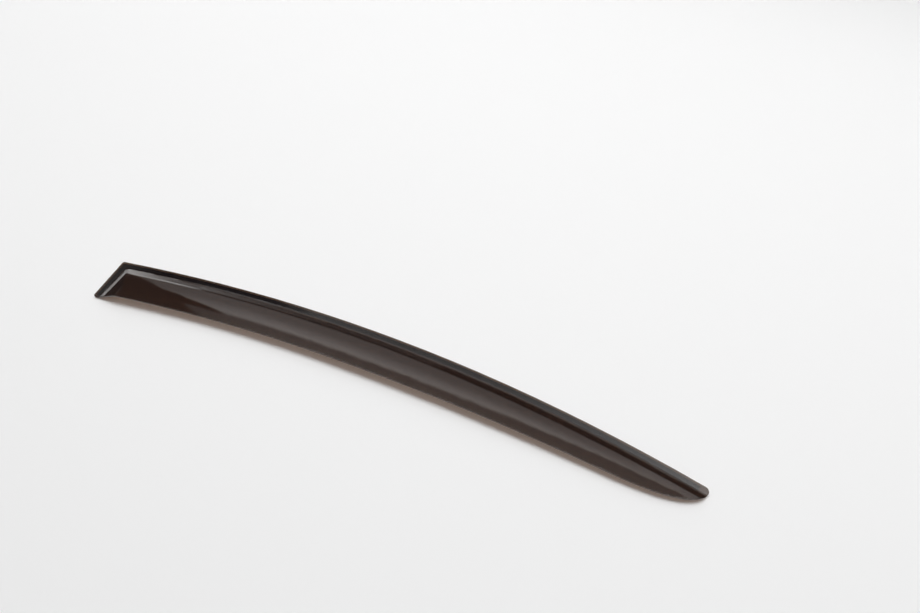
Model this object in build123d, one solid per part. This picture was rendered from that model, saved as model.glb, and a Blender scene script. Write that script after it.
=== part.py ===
"""A stick-on rain deflector for the top of a car's front side window.

One moulded sheet: a flat flange follows the arched top edge and wraps the square end, a sloped wall
rises from it, and a crowned body carries on, still rising, to a free edge that stands clear of the
glass. The body narrows and flattens towards a rounded tip. Foam tape on the flange's back holds it on.
It lies as it rests on a table: tape below, outer face up, X along the length towards the tip, Y towards
the top edge. The model is drawn from the middle of the top edge's chord, and moved at the end so that
its origin lies under the middle of its box.
"""
from build123d import *
import os
from math import asin, cos, degrees, radians, sin, sqrt, tan

# Plan outline, in mm and degrees
LENGTH = 902.0
TOP_RADIUS = 2416.0
BODY_WIDTH = 70.2
TAPER_START = 360.0
TAPER_RADIUS = 4290.0
TIP_SWEEP = 133.0
TIP_REACH = 92.0
TIP_DROP = 28.0
END_CORNER_RADIUS = 4.0
FREE_CORNER_RADIUS = 4.0
TIP_NOSE_RADIUS = 7.0

# Section through the sheet
SHEET = 2.5
FLANGE_WIDTH = 11.5
END_FLANGE_WIDTH = 13.0
END_WALL_LEAN = 3.2
WALL_SLOPE = 28.0
END_WALL_SLOPE = 29.0
INNER_CORNER_RADIUS = 12.0
FOOT_RADIUS = 8.0
CREST_RADIUS = 12.0
HIP_SLOPE = 23.0
HIP_RADIUS = 12.0
RIM_RADIUS = 0.7

# Height of the wall, slope of the crown at its crest and radius of the crown: along the first half,
# then at the shoulder and past the tip, between which the body comes down
MAIN_RISE = 5.8
MAIN_SLOPE = 16.0
MAIN_CROWN_RADIUS = 211.0
SHOULDER_AT = 760.0
SHOULDER_RISE = 5.2
SHOULDER_SLOPE = 14.4
SHOULDER_CROWN_RADIUS = 150.0
TIP_RISE = 3.0
TIP_SLOPE = 11.5
TIP_CROWN_RADIUS = 100.0

# Foam tape on the flat of the flange
TAPE_THICKNESS = 1.0
TAPE_INSET = 2.0
TAPE_BEND_GAP = 1.0
TAPE_JOINT_GAP = 1.0
TAPE_TIP_MARGIN = 12.0
TAPE_FREE_MARGIN = 6.0

# Room by which working solids run past the outline before they are trimmed to it
MARGIN = 25.0
TRIM_ROOM = 6.0
CEILING = 45.0

FLANGE_BOTTOM = TAPE_THICKNESS
FLANGE_TOP = FLANGE_BOTTOM + SHEET
FOOT_REACH = tan(radians(WALL_SLOPE / 2))
END_FOOT_REACH = tan(radians(END_WALL_SLOPE / 2))
HALF = LENGTH / 2
CENTRE = Vector(0, -sqrt(TOP_RADIUS**2 - HALF**2), 0)
END_CORNER = Vector(-HALF, 0, 0)
TIP = Vector(HALF, 0, 0)
HALF_ANGLE = degrees(asin(HALF / TOP_RADIUS))
MARGIN_ANGLE = degrees(asin(MARGIN / TOP_RADIUS))
END_SKEW = BODY_WIDTH * HALF / TOP_RADIUS
END_ALONG = Vector(-sin(radians(END_WALL_LEAN)), -cos(radians(END_WALL_LEAN)), 0)
END_INWARD = Vector(cos(radians(END_WALL_LEAN)), -sin(radians(END_WALL_LEAN)), 0)
END_PLANE = Plane(origin=END_CORNER, x_dir=END_INWARD, z_dir=END_ALONG)


def radial(angle, inset=0.0):
    """Point at an angle from the middle of the top edge, towards the tip, and inset from that edge."""
    reach = TOP_RADIUS - inset
    return CENTRE + Vector(sin(radians(angle)), cos(radians(angle)), 0) * reach


def angle_at(along):
    """Angle of the station that lies a given distance along the chord from the square end."""
    return degrees(asin((along - HALF) / TOP_RADIUS))


def section_plane(angle):
    """Upright plane square to the top edge: its x runs in from that edge and its y is up."""
    turn = radians(angle)
    inward = (-sin(turn), -cos(turn), 0)
    return Plane(origin=radial(angle), x_dir=inward, z_dir=(-cos(turn), sin(turn), 0))


def parallel_arc(inset, start, end):
    """Arc that runs parallel to the top edge, between two angles."""
    return ThreePointArc(radial(start, inset), radial((start + end) / 2, inset), radial(end, inset))


def band(first, last, start, stop, bottom, top):
    """Upright slab that follows the top edge, between two insets, two angles and two levels."""
    near = parallel_arc(first, start, stop)
    far = parallel_arc(last, start, stop)
    face = make_face([near, far, Line(near @ 0, far @ 0), Line(near @ 1, far @ 1)])
    return Pos(0, 0, bottom) * extrude(face, amount=top - bottom)


def outline():
    """Plan outline: arched top, square end, free edge parallel to the top, long taper, swept tip."""
    taper_angle = angle_at(TAPER_START)
    beyond_end = parallel_arc(BODY_WIDTH, -HALF_ANGLE - MARGIN_ANGLE, taper_angle).edge()
    end_line = Line(END_CORNER, END_CORNER - Vector(0, BODY_WIDTH + MARGIN, 0)).edge()
    free_corner = end_line.find_intersection_points(beyond_end)[0]
    taper_from = radial(taper_angle, BODY_WIDTH)
    heading = Vector(cos(radians(taper_angle)), -sin(radians(taper_angle)), 0)
    taper_turn = degrees(asin((LENGTH - TIP_SWEEP - TAPER_START) / TAPER_RADIUS))
    taper = JernArc(taper_from, heading, TAPER_RADIUS, -taper_turn)
    sweep_from = taper @ 1
    sweep_handle = sweep_from + (taper % 1) * TIP_REACH
    edges = [
        parallel_arc(0, -HALF_ANGLE, HALF_ANGLE),
        Line(END_CORNER, free_corner),
        ThreePointArc(free_corner, radial((taper_angle - HALF_ANGLE) / 2, BODY_WIDTH), taper_from),
        taper,
        Bezier(sweep_from, sweep_handle, TIP - Vector(0, TIP_DROP, 0), TIP),
    ]
    face = make_face(edges)
    for corner, radius in (
        (END_CORNER, END_CORNER_RADIUS),
        (free_corner, FREE_CORNER_RADIUS),
        (TIP, TIP_NOSE_RADIUS),
    ):
        face = fillet(face.vertices().sort_by_distance(corner)[0], radius)
    return face


def plain_block(top):
    """Block from the flange's back up to a level, larger in plan than the outline."""
    middle = (FLANGE_BOTTOM + top) / 2
    return Pos(0, 0, middle) * Box(LENGTH + MARGIN, 4 * BODY_WIDTH, top - FLANGE_BOTTOM)


def surroundings(room, bottom):
    """Band that holds the whole outline with some room on every side, from a level to the ceiling."""
    before_end = HALF_ANGLE + degrees((END_SKEW + room) / TOP_RADIUS)
    past_tip = HALF_ANGLE + degrees(room / TOP_RADIUS)
    return band(-room, BODY_WIDTH + room, -before_end, past_tip, bottom, CEILING)


def shared_edges(faces, others):
    """Edges along which one of the first faces meets one of the others."""
    twins = [edge for other in others for edge in other.edges()]
    return [edge for face in faces for edge in face.edges() if any(edge.is_same(twin) for twin in twins)]


def walled_room(depth):
    """Solid inside the sloped wall, for a face that lies a given depth below the outer one."""
    level = FLANGE_TOP - depth

    def profile(foot, slope, far):
        lean = 1 / tan(radians(slope))
        corners = [
            (foot - (level + MARGIN) * lean, -MARGIN),
            (foot + (CEILING - level) * lean, CEILING),
            (far, CEILING),
            (far, -MARGIN),
        ]
        return make_face(Polyline(*corners, close=True))

    side_profile = profile(FLANGE_WIDTH + depth * FOOT_REACH, WALL_SLOPE, 3 * BODY_WIDTH)
    side = revolve(
        section_plane(HALF_ANGLE + MARGIN_ANGLE) * side_profile,
        axis=Axis(CENTRE, (0, 0, 1)),
        revolution_arc=2 * (HALF_ANGLE + MARGIN_ANGLE),
    )
    end_foot = END_FLANGE_WIDTH + depth * END_FOOT_REACH
    end_profile = profile(end_foot, END_WALL_SLOPE, LENGTH + 2 * MARGIN)
    room = side & extrude(END_PLANE * end_profile, amount=4 * BODY_WIDTH, both=True)
    inner_corner = END_CORNER + END_INWARD * END_FLANGE_WIDTH + END_ALONG * FLANGE_WIDTH
    crease = room.edges().filter_by(GeomType.CIRCLE, reverse=True).sort_by_distance(inner_corner)[0]
    return fillet(crease, INNER_CORNER_RADIUS - depth)


def crown_section(angle, rise, slope, bend, depth):
    """Closed section under the crown: an arc set by its height and slope at the wall's crest and its bend."""
    crest = FLANGE_WIDTH + rise / tan(radians(WALL_SLOPE))
    hub_in = crest + bend * sin(radians(slope))
    hub_up = FLANGE_TOP + rise - bend * cos(radians(slope))
    radius = bend - depth

    def on_arc(inset):
        return (inset, hub_up + sqrt(radius**2 - (inset - hub_in) ** 2))

    near = on_arc(-MARGIN)
    far = on_arc(BODY_WIDTH + MARGIN)
    arc = ThreePointArc(near, on_arc(BODY_WIDTH / 2), far)
    sides = Polyline(far, (far[0], -MARGIN), (near[0], -MARGIN), near)
    return section_plane(angle) * make_face([arc, *sides.edges()])


def crowned_room(depth):
    """Solid below the crown, lofted through the main, shoulder and tip sections."""
    stations = [
        (-HALF_ANGLE - MARGIN_ANGLE, MAIN_RISE, MAIN_SLOPE, MAIN_CROWN_RADIUS),
        (-HALF_ANGLE / 2, MAIN_RISE, MAIN_SLOPE, MAIN_CROWN_RADIUS),
        (0, MAIN_RISE, MAIN_SLOPE, MAIN_CROWN_RADIUS),
        (angle_at(SHOULDER_AT), SHOULDER_RISE, SHOULDER_SLOPE, SHOULDER_CROWN_RADIUS),
        (HALF_ANGLE + MARGIN_ANGLE, TIP_RISE, TIP_SLOPE, TIP_CROWN_RADIUS),
    ]
    return loft([crown_section(*station, depth) for station in stations])


def hipped_room(depth):
    """Solid below the hip, the slope by which the crown comes down to the wall at the square end."""
    slope = radians(HIP_SLOPE)
    crest = END_FLANGE_WIDTH + MAIN_RISE / tan(radians(END_WALL_SLOPE))
    level = FLANGE_TOP + MAIN_RISE - depth / cos(slope)
    far = LENGTH + 2 * MARGIN
    corners = [
        (crest - (level + MARGIN) / tan(slope), -MARGIN),
        (crest + (CEILING - level) / tan(slope), CEILING),
        (far, CEILING),
        (far, -MARGIN),
    ]
    return extrude(END_PLANE * make_face(Polyline(*corners, close=True)), amount=4 * BODY_WIDTH, both=True)


def upward_faces(solid):
    """Faces of a working solid that look up, however steep their slope."""
    return solid.faces().filter_by(lambda face: face.normal_at().Z > cos(radians(2 * WALL_SLOPE)))


def raised_form(depth):
    """Solid under the sloped wall, the crown and the hip, with the crease and the crest rounded."""
    roof = crowned_room(depth) & hipped_room(depth)
    crown, hip = upward_faces(roof)
    roof = fillet(shared_edges([crown], [hip]), HIP_RADIUS - depth)
    form = walled_room(depth) & roof
    upward = upward_faces(form)
    walls = upward.filter_by(lambda face: face.bounding_box().min.Z < 0)
    tops = upward.filter_by(lambda face: face.bounding_box().min.Z > 0)
    return fillet(shared_edges(tops, walls), CREST_RADIUS - depth)


def flange_foot(solid, level):
    """Edges where the sloped wall leaves the flat of the flange, on its top or its back."""
    flats = solid.faces().filter_by(Plane.XY).filter_by(lambda face: abs(face.center().Z - level) < SHEET / 10)
    upright = cos(radians(WALL_SLOPE / 2))
    sloped = solid.faces().filter_by(lambda face: 1 - upright < abs(face.normal_at().Z) < upright)
    return shared_edges(flats, sloped)


def deflector_shell():
    """The moulding: flange and raised form, hollowed from below by one sheet, trimmed to the outline."""
    outer = plain_block(FLANGE_TOP) + (raised_form(0) & plain_block(CEILING))
    outer = fillet(flange_foot(outer, FLANGE_TOP), FOOT_RADIUS)
    hollow = raised_form(SHEET) & surroundings(2 * TRIM_ROOM, 0)
    sheet = (outer & surroundings(TRIM_ROOM, FLANGE_BOTTOM)) - hollow
    sheet = fillet(flange_foot(sheet, FLANGE_BOTTOM), FOOT_RADIUS + SHEET)
    sheet = sheet & extrude(outline(), amount=CEILING)
    rim_walls = sheet.faces().filter_by(lambda face: abs(face.normal_at().Z) < RIM_RADIUS / SHEET)
    upward = sheet.faces().filter_by(lambda face: face.normal_at().Z > cos(radians(2 * WALL_SLOPE)))
    return fillet(shared_edges(rim_walls, upward), RIM_RADIUS)


def tape_strips():
    """The two strips: one along the whole top flange, one down the end flange, butted at the corner."""
    field = Pos(TAPE_INSET, 0, 0) * Box(LENGTH, 4 * BODY_WIDTH, 2 * TAPE_THICKNESS)
    before_end = -HALF_ANGLE - MARGIN_ANGLE
    upper_edge = FLANGE_WIDTH - FOOT_RADIUS * FOOT_REACH - TAPE_BEND_GAP
    upper_stop = angle_at(LENGTH - TAPE_TIP_MARGIN)
    upper = field & band(TAPE_INSET, upper_edge, before_end, upper_stop, 0, TAPE_THICKNESS)
    end_start = upper_edge + TAPE_JOINT_GAP
    end_stop = BODY_WIDTH - TAPE_FREE_MARGIN
    end_edge = END_FLANGE_WIDTH - FOOT_RADIUS * END_FOOT_REACH - TAPE_BEND_GAP
    end_strip = Pos(end_edge - MARGIN, 0, 0) * Box(2 * MARGIN, 4 * TAPE_THICKNESS, 4 * BODY_WIDTH)
    end = field & (END_PLANE * end_strip) & band(end_start, end_stop, before_end, 0, 0, TAPE_THICKNESS)
    return upper, end


shell = deflector_shell()
upper_tape, end_tape = tape_strips()
nodes = {"deflector_shell": shell, "upper_tape": upper_tape, "end_tape": end_tape}
middle = shell.bounding_box().center()
os.makedirs("parts", exist_ok=True)
for name, solid in nodes.items():
    export_step(solid.moved(Pos(-middle.X, -middle.Y, 0)), f"parts/{name}.step")
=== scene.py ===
"""A smoked acrylic rain deflector lying on a pale table, under a soft light tent.

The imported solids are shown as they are; this script gives them their finishes, the table, the light and
the camera. Lengths are in metres, in the part's own frame: X along it to the tip, Y to its top edge, Z up.
Turns and rises are in degrees, and scales of pattern are per metre.
"""
from math import radians

import bpy
import numpy as np
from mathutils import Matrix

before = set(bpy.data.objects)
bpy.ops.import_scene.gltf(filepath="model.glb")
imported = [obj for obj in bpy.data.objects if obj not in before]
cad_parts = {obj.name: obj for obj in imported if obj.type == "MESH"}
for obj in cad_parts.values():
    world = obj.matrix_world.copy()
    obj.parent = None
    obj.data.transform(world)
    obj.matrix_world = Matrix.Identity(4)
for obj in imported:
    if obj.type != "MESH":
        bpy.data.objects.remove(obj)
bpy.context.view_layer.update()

# Camera: the photograph's place and angle
CAMERA_AT = (0.3290, -0.4806, 0.9456)
CAMERA_TURN = (radians(36.0), 0.0, radians(24.0))
IMAGE_WIDTH_PX = 920
FOCAL_PX = 800
SENSOR_MM = 36.0

# Smoked acrylic: how much of one face is solid, what more is lost on a slant, the colour it lets through
# and its own colour, which haze lightens
SOLID_SHARE = 0.44
SLANT_LOSS = 0.65
SMOKE_TINT = (0.735, 0.585, 0.485)
SMOKE_BODY = (0.011, 0.0075, 0.0072)
HAZE_LIFT = 1.5
ACRYLIC_IOR = 1.49
HEAD_ON_MIRROR = ((ACRYLIC_IOR - 1) / (ACRYLIC_IOR + 1)) ** 2
GRAZING_POWER = 5

# Its face: long moulding waves, handling haze and fine specks
FLOW_STRETCH = (0.35, 1.0, 1.0)
WAVE_SCALE = 22.0
WAVE_STRENGTH = 0.04
WAVE_HEIGHT = 0.0006
HAZE_SCALE = 70.0
SPECK_SCALE = 900.0
FACE_ROUGHNESS = 0.035
HAZE_ROUGHNESS = 0.05
SPECK_ROUGHNESS = 0.02
FACE_SPECULAR = 0.6
COAT_ROUGHNESS = 0.05

# Foam tape: its darkest and lightest black, its cells and its blotches
FOAM_DARK = (0.008, 0.008, 0.008)
FOAM_LIGHT = (0.018, 0.018, 0.018)
CELL_SCALE = 1600.0
CELL_STRENGTH = 0.5
CELL_DEPTH = 0.0002
BLOTCH_SCALE = 60.0
FOAM_ROUGHNESS = 0.72
BLOTCH_ROUGHNESS = 0.2

# Noise values at which a colour ramp starts and ends
NOISE_LOW = 0.3
NOISE_HIGH = 0.8

# Light tent: places down its section (y, z), its left edge there, and the light it gives
TENT_SECTION = [
    (1.60, 0.95, -1.95, 0.52),
    (1.60, 1.20, -1.87, 0.66),
    (1.60, 1.40, -1.80, 1.05),
    (1.60, 1.62, -1.73, 1.55),
    (1.60, 1.74, -1.68, 1.78),
    (1.60, 1.80, -1.66, 1.45),
    (1.60, 1.86, -1.64, 0.95),
    (1.60, 1.93, -1.64, 0.52),
    (1.62, 1.96, -2.00, 0.43),
    (1.95, 2.75, -2.30, 0.62),
    (2.64, 4.50, -2.90, 0.62),
    (2.60, 4.60, -2.90, 0.30),
    (-3.60, 4.60, -2.90, 0.30),
]
TENT_RIGHT = 3.0
TENT_COLUMNS = 51

# How its light fades toward its ends: share of its width, share of its light
TENT_FADE = [(0.0, 0.80), (0.10, 1.00), (0.38, 1.00), (0.50, 0.82), (1.0, 0.82)]

# Softbox hung under the tent's roof: its sides, its height, and the light down it, softer at the back
SOFTBOX_X = (-2.40, 2.25)
SOFTBOX_Y = (0.20, 2.20, 2.34, 2.58)
SOFTBOX_GLOW = (5.75, 5.75, 2.5, 0.65)
SOFTBOX_UP = 4.5

# Side screens, bands on a ring round the square end: turn from straight back, low and high rise, light.
# The wall screen fills the gap under the brightest stretch of the low one.
SCREEN_MIDDLE_X = -0.40
SCREEN_RADIUS = 2.4
SCREEN_COLUMNS = 79
LOW_SCREEN = [
    (-2, -1, 8, 0.08),
    (-18, -1, 8, 0.10),
    (-24, -1, 8, 0.20),
    (-29, -1, 8, 0.32),
    (-32, -1, 9, 0.45),
    (-33, 3, 11, 0.80),
    (-36, 3, 22, 2.30),
    (-44, 3, 22, 2.30),
    (-46, -1, 12, 1.90),
    (-48, -1, 5, 1.30),
    (-54, -1, 1.5, 1.30),
    (-80, -1, 1.5, 1.30),
]
WALL_SCREEN = [
    (-32.5, -1, 3, 0.35),
    (-36, -1, 3, 0.40),
    (-38, -1, 3, 0.70),
    (-40, -1, 3, 1.20),
    (-42, -1, 3, 1.90),
    (-45, -1, 3, 1.90),
]
HIGH_SCREEN = [
    (-55.5, 26, 48.7, 0.15),
    (-60, 26, 48.7, 0.35),
    (-72, 26, 48.7, 0.50),
]

# Black curtain round the table: its two ends, the corner where it steps up, and its foot and tops
CURTAIN_RADIUS = 3.2
CURTAIN_ENDS = (-150.0, 75.0)
CURTAIN_CORNER = -46.0
CURTAIN_FOOT = -0.05
CURTAIN_BACK_TOP = 1.55
CURTAIN_SIDE_TOP = 8.0
CURTAIN_COLUMNS = 91
CURTAIN_BLACK = (0.06, 0.06, 0.065)

# Table, set a hair below the tape, and the room's own light
TABLE_SIZE = 3.2
TABLE_DROP = 0.0001
TABLE_WHITE = (0.96, 0.96, 0.96)
ROOM_WHITE = (1.0, 1.0, 1.0)
ROOM_LIGHT = 0.16


class Wire:
    """An output socket that takes part in sums: each operator adds one Math node to its tree."""

    def __init__(self, socket):
        self.socket = socket

    def math(self, operation, first, second):
        return Finish(self.socket.id_data).node("Math", {"operation": operation}, {0: first, 1: second})

    def __add__(self, other):
        return self.math("ADD", self, other)

    __radd__ = __add__

    def __mul__(self, other):
        return self.math("MULTIPLY", self, other)

    __rmul__ = __mul__

    def __sub__(self, other):
        return self.math("SUBTRACT", self, other)

    def __rsub__(self, other):
        return self.math("SUBTRACT", other, self)

    def __pow__(self, other):
        return self.math("POWER", self, other)

    def __rpow__(self, other):
        return self.math("POWER", other, self)


class Finish:
    """A node tree that is being filled."""

    def __init__(self, tree):
        self.tree = tree

    def node(self, kind, settings=None, sockets=None, output=0):
        """Adds a node: its settings first, then a value or a link for each named socket."""
        added = self.tree.nodes.new("ShaderNode" + kind)
        for name, value in (settings or {}).items():
            if name == "stops":
                fill_ramp(added.color_ramp, value)
            else:
                setattr(added, name, value)
        for name, value in (sockets or {}).items():
            if isinstance(value, Wire):
                self.tree.links.new(value.socket, added.inputs[name])
            else:
                added.inputs[name].default_value = value
        return Wire(added.outputs[output]) if added.outputs else None


def fill_ramp(ramp, stops):
    """Sets a ramp's two stops, each a place from 0 to 1 and a colour."""
    for element, (place, colour) in zip(ramp.elements, stops):
        element.position = place
        element.color = opaque(colour)


def opaque(colour):
    """The colour with the full alpha that a colour socket asks for."""
    return (*colour, 1.0)


def new_finish(name):
    """An empty material and the tree that its nodes go into."""
    material = bpy.data.materials.new(name)
    material.use_nodes = True
    material.node_tree.nodes.clear()
    return material, Finish(material.node_tree)


def smoked_acrylic():
    """Clear brown acrylic: a mirror-smooth face with faint moulding waves and handling haze."""
    material, finish = new_finish("smoked_acrylic")
    place = finish.node("TexCoord", output="Object")
    stretched = finish.node("Mapping", {}, {"Vector": place, "Scale": FLOW_STRETCH})
    waves = finish.node("TexNoise", {}, {"Vector": stretched, "Scale": WAVE_SCALE, "Detail": 1.0})
    haze = finish.node("TexNoise", {}, {"Vector": stretched, "Scale": HAZE_SCALE, "Detail": 4.0})
    specks = finish.node("TexNoise", {}, {"Vector": place, "Scale": SPECK_SCALE, "Detail": 2.0})
    hazed = [HAZE_LIFT * part for part in SMOKE_BODY]
    colour = finish.node(
        "ValToRGB",
        {"stops": [(NOISE_LOW, SMOKE_BODY), (NOISE_HIGH, hazed)]},
        {"Fac": haze},
    )
    normal = finish.node(
        "Bump",
        {},
        {"Strength": WAVE_STRENGTH, "Distance": WAVE_HEIGHT, "Height": waves},
    )
    body = finish.node(
        "BsdfPrincipled",
        {},
        {
            "Base Color": colour,
            "Roughness": FACE_ROUGHNESS + haze * HAZE_ROUGHNESS + specks * SPECK_ROUGHNESS,
            "Normal": normal,
            "IOR": ACRYLIC_IOR,
            "Specular IOR Level": FACE_SPECULAR,
            "Coat Weight": 1.0,
            "Coat IOR": ACRYLIC_IOR,
            "Coat Roughness": COAT_ROUGHNESS,
        },
    )
    clear = finish.node("BsdfTransparent", {}, {"Color": opaque(SMOKE_TINT)})
    slant = finish.node("LayerWeight", {}, {"Blend": 0.5, "Normal": normal}, output="Facing")
    mirror = HEAD_ON_MIRROR + (1 - HEAD_ON_MIRROR) * slant ** GRAZING_POWER
    opacity = 1 - (1 - mirror) * (1 - SOLID_SHARE) * (1 - slant * SLANT_LOSS)
    mixed = finish.node("MixShader", {}, {0: opacity, 1: clear, 2: body})
    finish.node("OutputMaterial", {}, {"Surface": mixed})
    return material


def foam_tape():
    """Black closed-cell foam: matte, with fine cells and slight unevenness."""
    material, finish = new_finish("foam_tape")
    place = finish.node("TexCoord", output="Object")
    cells = finish.node("TexVoronoi", {}, {"Vector": place, "Scale": CELL_SCALE})
    blotch = finish.node("TexNoise", {}, {"Vector": place, "Scale": BLOTCH_SCALE, "Detail": 3.0})
    colour = finish.node(
        "ValToRGB",
        {"stops": [(NOISE_LOW, FOAM_DARK), (NOISE_HIGH, FOAM_LIGHT)]},
        {"Fac": blotch},
    )
    normal = finish.node(
        "Bump",
        {},
        {"Strength": CELL_STRENGTH, "Distance": CELL_DEPTH, "Height": cells},
    )
    body = finish.node(
        "BsdfPrincipled",
        {},
        {"Base Color": colour, "Roughness": FOAM_ROUGHNESS + blotch * BLOTCH_ROUGHNESS, "Normal": normal},
    )
    finish.node("OutputMaterial", {}, {"Surface": body})
    return material


def matte(name, colour):
    """A plain matte finish, for the stage alone."""
    material, finish = new_finish(name)
    body = finish.node("BsdfDiffuse", {}, {"Color": opaque(colour)})
    finish.node("OutputMaterial", {}, {"Surface": body})
    return material


def lit_cloth():
    """Cloth that glows by the strength written at each point of its mesh."""
    material, finish = new_finish("lit_cloth")
    glow = finish.node("Attribute", {"attribute_name": "glow"}, output="Color")
    body = finish.node("Emission", {}, {"Color": glow})
    finish.node("OutputMaterial", {}, {"Surface": body})
    return material


def grid_mesh(name, points):
    """Mesh of a grid of points, rows by columns by xyz, with one square face between each four."""
    rows, columns = points.shape[:2]
    index = np.arange(rows * columns).reshape(rows, columns)
    corners = [index[:-1, :-1], index[1:, :-1], index[1:, 1:], index[:-1, 1:]]
    mesh = bpy.data.meshes.new(name)
    mesh.from_pydata(points.reshape(-1, 3).tolist(), [], np.stack(corners, -1).reshape(-1, 4).tolist())
    mesh.update()
    thing = bpy.data.objects.new(name, mesh)
    bpy.context.scene.collection.objects.link(thing)
    return thing


def light_up(cloth, glow):
    """Makes a sheet glow by a strength at each point, out of the camera's sight."""
    strength = cloth.data.attributes.new("glow", "FLOAT", "POINT")
    strength.data.foreach_set("value", glow.astype(np.float32))
    cloth.data.materials.append(lit_cloth())
    cloth.visible_camera = False


def light_tent():
    """The tent's section carried straight along X, from a slanting left edge to an upright right one."""
    y, z, left, glow = np.array(TENT_SECTION).T[:, :, None]
    across = np.linspace(0.0, 1.0, TENT_COLUMNS)
    share = np.interp(across, *np.array(TENT_FADE).T)
    x = left + (TENT_RIGHT - left) * across
    points = np.stack([x, np.broadcast_to(y, x.shape), np.broadcast_to(z, x.shape)], -1)
    light_up(grid_mesh("light_tent", points), (glow * share).ravel())


def softbox():
    """A flat rectangle, its light set at each of its rows."""
    x, y = np.meshgrid(SOFTBOX_X, SOFTBOX_Y, indexing="ij")
    points = np.stack([x, y, np.full_like(x, SOFTBOX_UP)], -1)
    light_up(grid_mesh("softbox", points), np.tile(SOFTBOX_GLOW, len(SOFTBOX_X)))


def side_screen(name, band):
    """An upright band on a ring: x and y go by the sine and cosine of the turn, z by the tangent of the
    rise, and each column stands from its low rise to its high one."""
    turn, low, high, glow = np.array(band, float).T
    turns = np.linspace(turn[0], turn[-1], SCREEN_COLUMNS)
    ring_x = SCREEN_MIDDLE_X + SCREEN_RADIUS * np.sin(np.radians(turns))
    ring_y = SCREEN_RADIUS * np.cos(np.radians(turns))
    rows = []
    for rise in (low, high):
        level = SCREEN_RADIUS * np.tan(np.radians(np.interp(-turns, -turn, rise)))
        rows.append(np.column_stack([ring_x, ring_y, level]))
    light_up(grid_mesh(name, np.stack(rows)), np.tile(np.interp(-turns, -turn, glow), len(rows)))


def dark_curtain():
    """Part of an upright ring round the table: x and y go by the sine and cosine of the turn, and its top
    is low behind the table and high on its left."""
    turn = np.linspace(*CURTAIN_ENDS, CURTAIN_COLUMNS)
    top = np.where(turn < CURTAIN_CORNER, CURTAIN_SIDE_TOP, CURTAIN_BACK_TOP)
    ring = CURTAIN_RADIUS * np.stack([np.sin(np.radians(turn)), np.cos(np.radians(turn))], -1)
    low = np.column_stack([ring, np.full_like(turn, CURTAIN_FOOT)])
    high = np.column_stack([ring, top])
    curtain = grid_mesh("dark_curtain", np.stack([low, high]))
    curtain.data.materials.append(matte("dark_cloth", CURTAIN_BLACK))
    curtain.visible_camera = False
    curtain.visible_diffuse = False
    curtain.visible_shadow = False


def table():
    """A flat square under the part, its face up."""
    side = (-TABLE_SIZE / 2, TABLE_SIZE / 2)
    x, y = np.meshgrid(side, side, indexing="ij")
    top = grid_mesh("table", np.stack([x, y, np.full_like(x, -TABLE_DROP)], -1))
    top.data.materials.append(matte("table_white", TABLE_WHITE))


def room():
    """White to the eye and in reflections, faint as a light."""
    world = bpy.data.worlds.new("room")
    bpy.context.scene.world = world
    world.use_nodes = True
    world.node_tree.nodes.clear()
    finish = Finish(world.node_tree)
    direct = finish.node("LightPath", output="Is Camera Ray")
    mirrored = finish.node("LightPath", output="Is Glossy Ray")
    through = finish.node("LightPath", output="Is Transmission Ray")
    seen = direct.math("MAXIMUM", direct, mirrored)
    seen = seen.math("MAXIMUM", seen, through)
    level = ROOM_LIGHT + seen * (1.0 - ROOM_LIGHT)
    air = finish.node("Background", {}, {"Color": opaque(ROOM_WHITE), "Strength": level})
    finish.node("OutputWorld", {}, {"Surface": air})


def camera():
    """The photograph's camera."""
    lens = bpy.data.cameras.new("camera")
    lens.sensor_width = SENSOR_MM
    lens.lens = SENSOR_MM * FOCAL_PX / IMAGE_WIDTH_PX
    eye = bpy.data.objects.new("camera", lens)
    eye.location = CAMERA_AT
    eye.rotation_euler = CAMERA_TURN
    bpy.context.scene.collection.objects.link(eye)
    bpy.context.scene.camera = eye


finishes = {"deflector_shell": smoked_acrylic()}
finishes["upper_tape"] = finishes["end_tape"] = foam_tape()
for name, material in finishes.items():
    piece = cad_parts[name]
    piece.data.materials.clear()
    piece.data.materials.append(material)

table()
light_tent()
softbox()
side_screen("low_screen", LOW_SCREEN)
side_screen("wall_screen", WALL_SCREEN)
side_screen("high_screen", HIGH_SCREEN)
dark_curtain()
room()
camera()
bpy.context.scene.view_settings.view_transform = "Standard"
